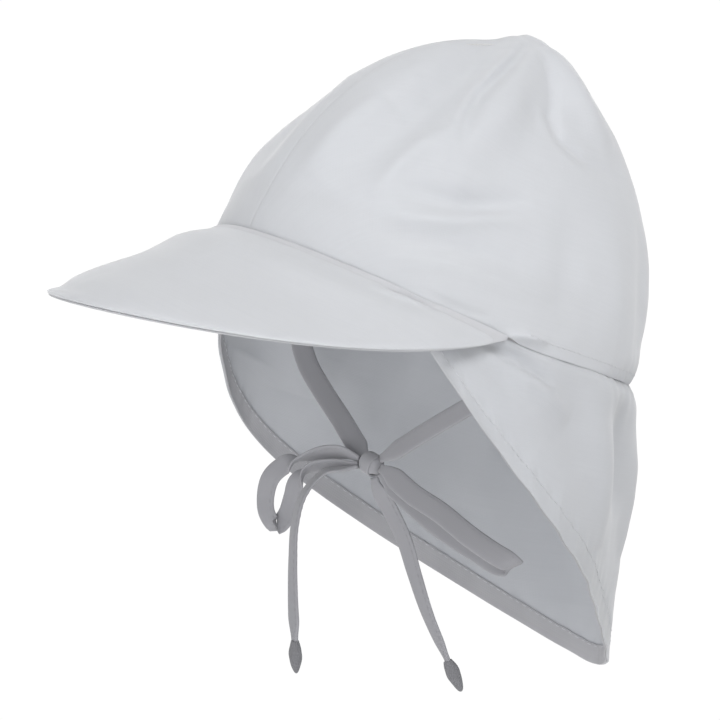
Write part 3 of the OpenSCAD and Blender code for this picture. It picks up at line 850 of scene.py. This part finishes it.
def make_tip(name, line, body):
    """The knotted end of a tail: a drop wound from the tie's own cloth, with slanting folds."""
    along = Vector(unit(line[-1] - line[-3]))
    bm = bmesh.new()
    bmesh.ops.create_uvsphere(bm, u_segments=40, v_segments=28, radius=1.0)
    uv_layer = bm.loops.layers.uv.new("UVMap")
    start = Vector(line[-1]) + along * (KNOT_GAP - TIP_SUNK)
    turn = along.to_track_quat("Z", "X").to_matrix()
    for vert in bm.verts:
        angle = math.atan2(vert.co.y, vert.co.x)
        share = (vert.co.z + 1) / 2
        belly = math.sin(math.pi * min(share * 0.86 + 0.14, 1)) ** 0.5
        wound = 1 + 0.07 * math.sin(2 * angle + 7 * share) + 0.03 * math.sin(5 * angle - 11 * share)
        radius = TIP_RADIUS * TIP_SLIMMER * belly * wound
        squashed = Vector((radius * math.cos(angle), radius * math.sin(angle) * 0.85, 0))
        squashed.z = share * TIP_LENGTH * TIP_LONGER
        vert.co = start + turn @ squashed
    for face in bm.faces:
        for loop in face.loops:
            loop[uv_layer].uv = (loop.vert.co.x + loop.vert.co.y, loop.vert.co.z)
    bmesh.ops.recalc_face_normals(bm, faces=bm.faces[:])
    mesh = bpy.data.meshes.new(name)
    bm.to_mesh(mesh)
    bm.free()
    piece = link(name + "_cloth", mesh, tip_cloth)
    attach(piece, body)
    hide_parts(name)
    return piece


tip_right = make_tip("tail_knot_right", tail_right_line, "tail_right")
tip_left = make_tip("tail_knot_left", tail_left_line, "tail_left")


CORE_HALF_LENGTH = 4.8 * MM
CORE_RADIUS = 3.7 * MM
# The wrap is one turn of the tie that leans over the core
WRAP_LEAN = math.radians(14)
WRAP_HALF = np.array([3.9, 3.6, 3.8])
WRAP_THICKNESS = 1.1 * MM


def make_knot():
    """The bow's knot: a gathered core with one turn of the tie wrapped over it."""
    bm = bmesh.new()
    bmesh.ops.create_uvsphere(bm, u_segments=48, v_segments=32, radius=1.0)
    uv_layer = bm.loops.layers.uv.new("UVMap")
    for vert in bm.verts:
        x, y, z = vert.co
        angle = math.atan2(z, y)
        pleat = 1 + 0.08 * math.sin(5 * angle + 3 * x) * (1 - x * x)
        fuller = max(1 - abs(x) ** 3, 0) ** (1 / 3) / max(math.hypot(y, z), 1e-4)
        radius = CORE_RADIUS * pleat * min(fuller, 2.5)
        vert.co = Vector(KNOT) + Vector((x * CORE_HALF_LENGTH, y * radius, z * radius))
    for face in bm.faces:
        for loop in face.loops:
            loop[uv_layer].uv = (loop.vert.co.x + loop.vert.co.y, loop.vert.co.z)
    mesh = bpy.data.meshes.new("bow_knot_core")
    bm.to_mesh(mesh)
    bm.free()
    core = link("bow_knot_core", mesh, tie_cloth)
    turn = np.linspace(0, 2 * np.pi, 49)
    circle = np.stack([np.sin(turn) * math.sin(WRAP_LEAN), np.cos(turn), np.sin(turn)], -1)
    ring = circle * WRAP_HALF * MM + KNOT
    across = (math.cos(WRAP_LEAN), 0, -math.sin(WRAP_LEAN))
    widths = (5.4 + 0.7 * np.cos(2 * turn + 1)) * MM
    wrap = strip("bow_knot_wrap", ring, across, widths, np.full(len(ring), WRAP_THICKNESS), tie_cloth)
    for made in (core, wrap):
        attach(made, "bow")
    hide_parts("bow_knot")


make_knot()


# Crown

CROWN_GRID = (181, 121)
# The crown's turned edge laps this far over the flap
SEAM_LAP = 0.7 * MM
# The front seam is pressed flat: both panels reach this far past the middle and dip there
SEAM_OVERLAP = 0.5 * MM
SEAM_DIP = 0.08 * MM
# A panel's meridians are about this long, and fan out this wide from the apex, in radians
PANEL_LENGTH = 165 * MM
FAN = 1.9


def crown_uv(angle, climb):
    """The panel laid flat as a fan about the apex, so that its threads run straight."""
    reach = (1 - climb) * PANEL_LENGTH
    spread = (angle / 180 - 0.5) * FAN
    return np.stack([reach * np.sin(spread), -reach * np.cos(spread)], -1)


def make_crown(name, side):
    angle, climb = np.meshgrid(np.linspace(0, 180, CROWN_GRID[0]), np.linspace(0, 1, CROWN_GRID[1]),
                               indexing="ij")
    lap = climb_share(angle, np.full(angle.shape, SEAM_LAP)) * np.clip((angle - BILL_HALF_ANGLE) / 3, 0, 1)
    climb = climb * (1 + lap) - lap
    points = crown_shape(angle, climb, side)
    points[0, :, 0] = -SEAM_OVERLAP * side
    points[0] -= unit(points[0] - CROWN_CENTRE) * SEAM_DIP
    piece = cloth_piece(name + "_cloth", points, points - CROWN_CENTRE, poplin, uv=crown_uv(angle, climb))
    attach(piece, "crown")
    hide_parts(name)


make_crown("crown_left", 1)
make_crown("crown_right", -1)


BAND_GRID = (121, 13)
BAND_PUCKER_PITCH = 5.5 * MM


def band(name, node, middle, half_angle, low, high, depth, material, pucker):
    """A band inside the crown, centred on an angle, between two heights over the seam."""
    angle, level = np.meshgrid(np.linspace(middle - half_angle, middle + half_angle, BAND_GRID[0]),
                               np.linspace(low, high, BAND_GRID[1]), indexing="ij")
    wearer = np.abs(np.where(angle <= 180, angle, 360 - angle))
    left = crown_shape(wearer, climb_share(wearer, level), 1, depth)
    right = crown_shape(wearer, climb_share(wearer, level), -1, depth)
    is_left = ((angle >= 0) & (angle <= 180))[..., None]
    points = np.where(is_left, left, right)
    # Within 4 degrees and 4 mm of the middle the band runs straight across from one side to the other
    blend = np.clip(np.minimum(wearer, 180 - wearer) / 4, 0, 1)[..., None]
    average = (left + right * MIRROR_X) / 2
    average = np.where(is_left, average, average * MIRROR_X)
    points = average + (points - average) * blend
    signed_x = crown_base(wearer, climb_share(wearer, level))[..., 0] * np.where(is_left[..., 0], 1, -1)
    near_middle = np.abs(signed_x) < 4 * MM
    points[..., 0] = np.where(near_middle, signed_x, points[..., 0])
    centre_pull = unit(CROWN_CENTRE - points)
    waves = pucker * ripples(rim_length(angle), BAND_PUCKER_PITCH, 3)
    points = points + centre_pull * np.abs(waves)[..., None]
    piece = cloth_piece(name, points, points - CROWN_CENTRE, material, TAPE)
    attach(piece, "crown")
    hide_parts(node)


band("sweatband_cloth", "sweatband", 0, 102, 0.6 * MM, 22 * MM, LAYER + GAP, brushed,
     0.15 * MM)
band("nape_elastic_knit", "nape_elastic", 180, 66, 3 * MM, 9 * MM, LAYER + GAP, elastic_knit,
     0.3 * MM)
band("nape_casing_cloth", "nape_casing", 180, 72, 0.6 * MM, 12 * MM, LAYER + 2 * GAP + 0.7 * MM, tape_cloth,
     0.6 * MM)


def seam_tape(name, angle):
    """The tape over the raw edges of the crown's middle seam."""
    across, climb = np.meshgrid(np.linspace(-4, 4, 9) * MM, np.linspace(0.14, 0.84, 71), indexing="ij")
    points = crown_shape(np.full(climb.shape, float(angle)), climb, 1, LAYER + GAP)
    points[..., 0] = across
    piece = cloth_piece(name + "_cloth", points, points - CROWN_CENTRE, tape_cloth, TAPE)
    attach(piece, "crown")
    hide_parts(name)


seam_tape("seam_tape_front", 0)
seam_tape("seam_tape_back", 180)


def bar_tack(name, centre):
    """Dense zigzag stitching that holds a tie in the seam."""
    rows = []
    outward = np.array([[math.copysign(1, -centre[0]), 0, 0]] * 2)
    for k in range(9):
        y = (k / 8 - 0.5) * (TACK_SIZE[1] - 0.8 * MM)
        line = np.array([[0, y, -1.7 * MM], [0, y, 1.7 * MM]]) + centre
        rows.append((line, outward))
    sewing = stitches(name + "_thread", rows, thread, pitch=3.4 * MM, length=3.6 * MM, thread=1.0 * MM)
    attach(sewing, "crown")
    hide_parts(name)


bar_tack("bartack_left", TACK)
bar_tack("bartack_right", TACK * MIRROR_X)


# Bill

BILL_GRID = (181, 61)


def bends_with_bill(piece):
    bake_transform(piece)


def bill_sheet(name, node, half, ply, up, material, thickness, depth_to=1.0):
    s, depth = np.meshgrid(np.linspace(-BILL_CORNER_STOP, BILL_CORNER_STOP, BILL_GRID[0]),
                           np.linspace(0, depth_to, BILL_GRID[1]) ** 0.9, indexing="ij")
    points = bill_shape(s, depth, half, ply)
    piece = cloth_piece(name, points, np.broadcast_to(UP * up, points.shape), material, thickness)
    bends_with_bill(piece)
    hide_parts(node)


bill_sheet("bill_top_cloth", "bill_top", BILL_HALF - BILL_PLY, BILL_PLY, 1, poplin, BILL_PLY)
bill_sheet("bill_under_cloth", "bill_under", -BILL_HALF + BILL_PLY, -BILL_PLY, -1, lining,
           BILL_PLY)
bill_sheet("bill_foam_sheet", "bill_foam", 0.6 * MM, 0, 1, foam, 1.2 * MM, 0.93)


# Neck flap


def bends_with_flap(piece):
    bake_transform(piece)


FLAP_GRID = (261, 91)
FLAP_REACH = FLAP_CORNER_STOP * FLAP_SPAN
angle, drop = np.meshgrid(np.linspace(-FLAP_REACH, FLAP_REACH, FLAP_GRID[0]), np.linspace(0, 1, FLAP_GRID[1]),
                          indexing="ij")
flap_points = flap_shape(angle, drop)
neck_flap = cloth_piece("neck_flap_cloth", flap_points, flap_points - FLAP_CENTRE, flap_cloth)
bends_with_flap(neck_flap)
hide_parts("neck_flap")

angle, share = np.meshgrid(np.linspace(-FLAP_REACH, FLAP_REACH, FLAP_GRID[0]), np.linspace(0, 1, 9),
                           indexing="ij")
hem_drop = 1 - hem_share(angle) * (1 - share)
hem_points = flap_shape(angle, hem_drop, CLOTH + 0.1 * MM)
flap_hem = cloth_piece("flap_hem_cloth", hem_points, hem_points - FLAP_CENTRE, hem_cloth, 0.6 * MM)
bends_with_flap(flap_hem)
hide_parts("flap_hem")


# Stitching

def on_surface(shape, u, v, away_from, lift):
    """A stitch row on a shaped surface, just over its outer face."""
    line = shape(u, v)
    out = unit(line - away_from)
    return line + out * lift, out


# Stitches lie this far beside the back seam, this far over the rim, and just over the cloth
BESIDE_SEAM = 2.6 * MM
OVER_RIM = 3.4 * MM
OVER_CLOTH = 0.02 * MM


def crown_row(side, angle, climb):
    return on_surface(lambda a, v: crown_shape(a, v, side), angle, climb, CROWN_CENTRE, OVER_CLOTH)


crown_rows = []
for side in (1, -1):
    climb = np.linspace(0.02, 0.95, 160)
    reach = np.maximum(np.linalg.norm(crown_base(90.0 + 0 * climb, climb)[:, :1], axis=1), 8 * MM)
    crown_rows.append(crown_row(side, 180 - np.degrees(BESIDE_SEAM / reach), climb))
    around_rim = np.linspace(BILL_HALF_ANGLE + 4, 178, 400)
    crown_rows.append(crown_row(side, around_rim, climb_share(around_rim, np.full(400, OVER_RIM))))
crown_stitching = stitches("crown_stitching", crown_rows, thread)
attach(crown_stitching, "crown")

# The bill is sewn from below: its upper face shows no thread
s = np.linspace(-0.94, 0.94, 500)
edge_depth = 1 - 3.2 * MM / np.maximum(np.linalg.norm(bill_edge(s) - bill_base(s, 0 * s), axis=-1), 7 * MM)
under_line = bill_shape(s, edge_depth, -BILL_HALF + BILL_PLY, -BILL_PLY - 0.05 * MM)
bill_stitching = stitches("bill_stitching", [(under_line, np.broadcast_to(-UP, under_line.shape))], thread,
                          thread=0.22 * MM)
bends_with_bill(bill_stitching)

angle = np.linspace(-FLAP_REACH * 0.99, FLAP_REACH * 0.99, 700)
hem_line = 1 - hem_share(angle) * 0.9
flap_rows = [on_surface(lambda a, v: flap_shape(a, v, -0.05 * MM), angle, hem_line, FLAP_CENTRE, 0)]
inside = flap_shape(angle, hem_line, CLOTH + 0.7 * MM)
flap_rows.append((inside, unit(FLAP_CENTRE - inside)))
flap_stitching = stitches("flap_stitching", flap_rows, thread)
bends_with_flap(flap_stitching)


# Floor and light

FLOOR_HALF = 40.0
FLOOR_HEIGHT = -0.9
# The floor glows white, and only about half as much under the hat: painted shade under the hat
FLOOR_GLOW_NEAR = 0.55
FLOOR_GLOW_FAR = 1.02
GLOW_STARTS = 1.0
GLOW_FULL = 2.0


def make_floor():
    bm = bmesh.new()
    bmesh.ops.create_grid(bm, x_segments=4, y_segments=4, size=FLOOR_HALF)
    bmesh.ops.translate(bm, verts=bm.verts[:], vec=(0, 0, FLOOR_HEIGHT))
    mesh = bpy.data.meshes.new("floor")
    bm.to_mesh(mesh)
    bm.free()
    material = bpy.data.materials.new("glowing_white_floor")
    material.use_nodes = True
    tree = material.node_tree
    tree.nodes.clear()
    place = add(tree, "ShaderNodeTexCoord").outputs["Object"]
    reach = add(tree, "ShaderNodeVectorMath", {0: place}, operation="LENGTH")
    # Dimmer glow near the middle, under the hat: painted shade
    level = add(tree, "ShaderNodeMapRange", {
        "Value": reach.outputs["Value"], "From Min": GLOW_STARTS, "From Max": GLOW_FULL,
        "To Min": FLOOR_GLOW_NEAR, "To Max": FLOOR_GLOW_FAR,
    })
    glow = add(tree, "ShaderNodeEmission", {"Color": (1, 1, 1, 1), "Strength": level.outputs[0]})
    output = add(tree, "ShaderNodeOutputMaterial")
    tree.links.new(glow.outputs[0], output.inputs["Surface"])
    floor = bpy.data.objects.new("floor", mesh)
    bpy.context.scene.collection.objects.link(floor)
    mesh.materials.append(material)


def soft_light(name, place, spread, strength):
    """A large soft light that shines from this place's direction; its spread is in degrees."""
    data = bpy.data.lights.new(name, "SUN")
    data.angle = math.radians(spread)
    data.energy = strength
    lamp = bpy.data.objects.new(name, data)
    lamp.location = place
    lamp.rotation_euler = aimed(place, (0, 0, 0))
    bpy.context.scene.collection.objects.link(lamp)


make_floor()
world = bpy.data.worlds.new("studio")
bpy.context.scene.world = world
world.use_nodes = True
world.node_tree.nodes["Background"].inputs["Color"].default_value = (1, 1, 1, 1)
world.node_tree.nodes["Background"].inputs["Strength"].default_value = 0.15
soft_light("softbox_front", (0.52, -0.85, 0.1), 40, 1.5)
soft_light("softbox_over", (1.0, -0.1, 1.9), 35, 2.2)
soft_light("softbox_behind", (-0.76, 0.62, 0.2), 60, 1.6)
bpy.context.scene.view_settings.view_transform = "Standard"
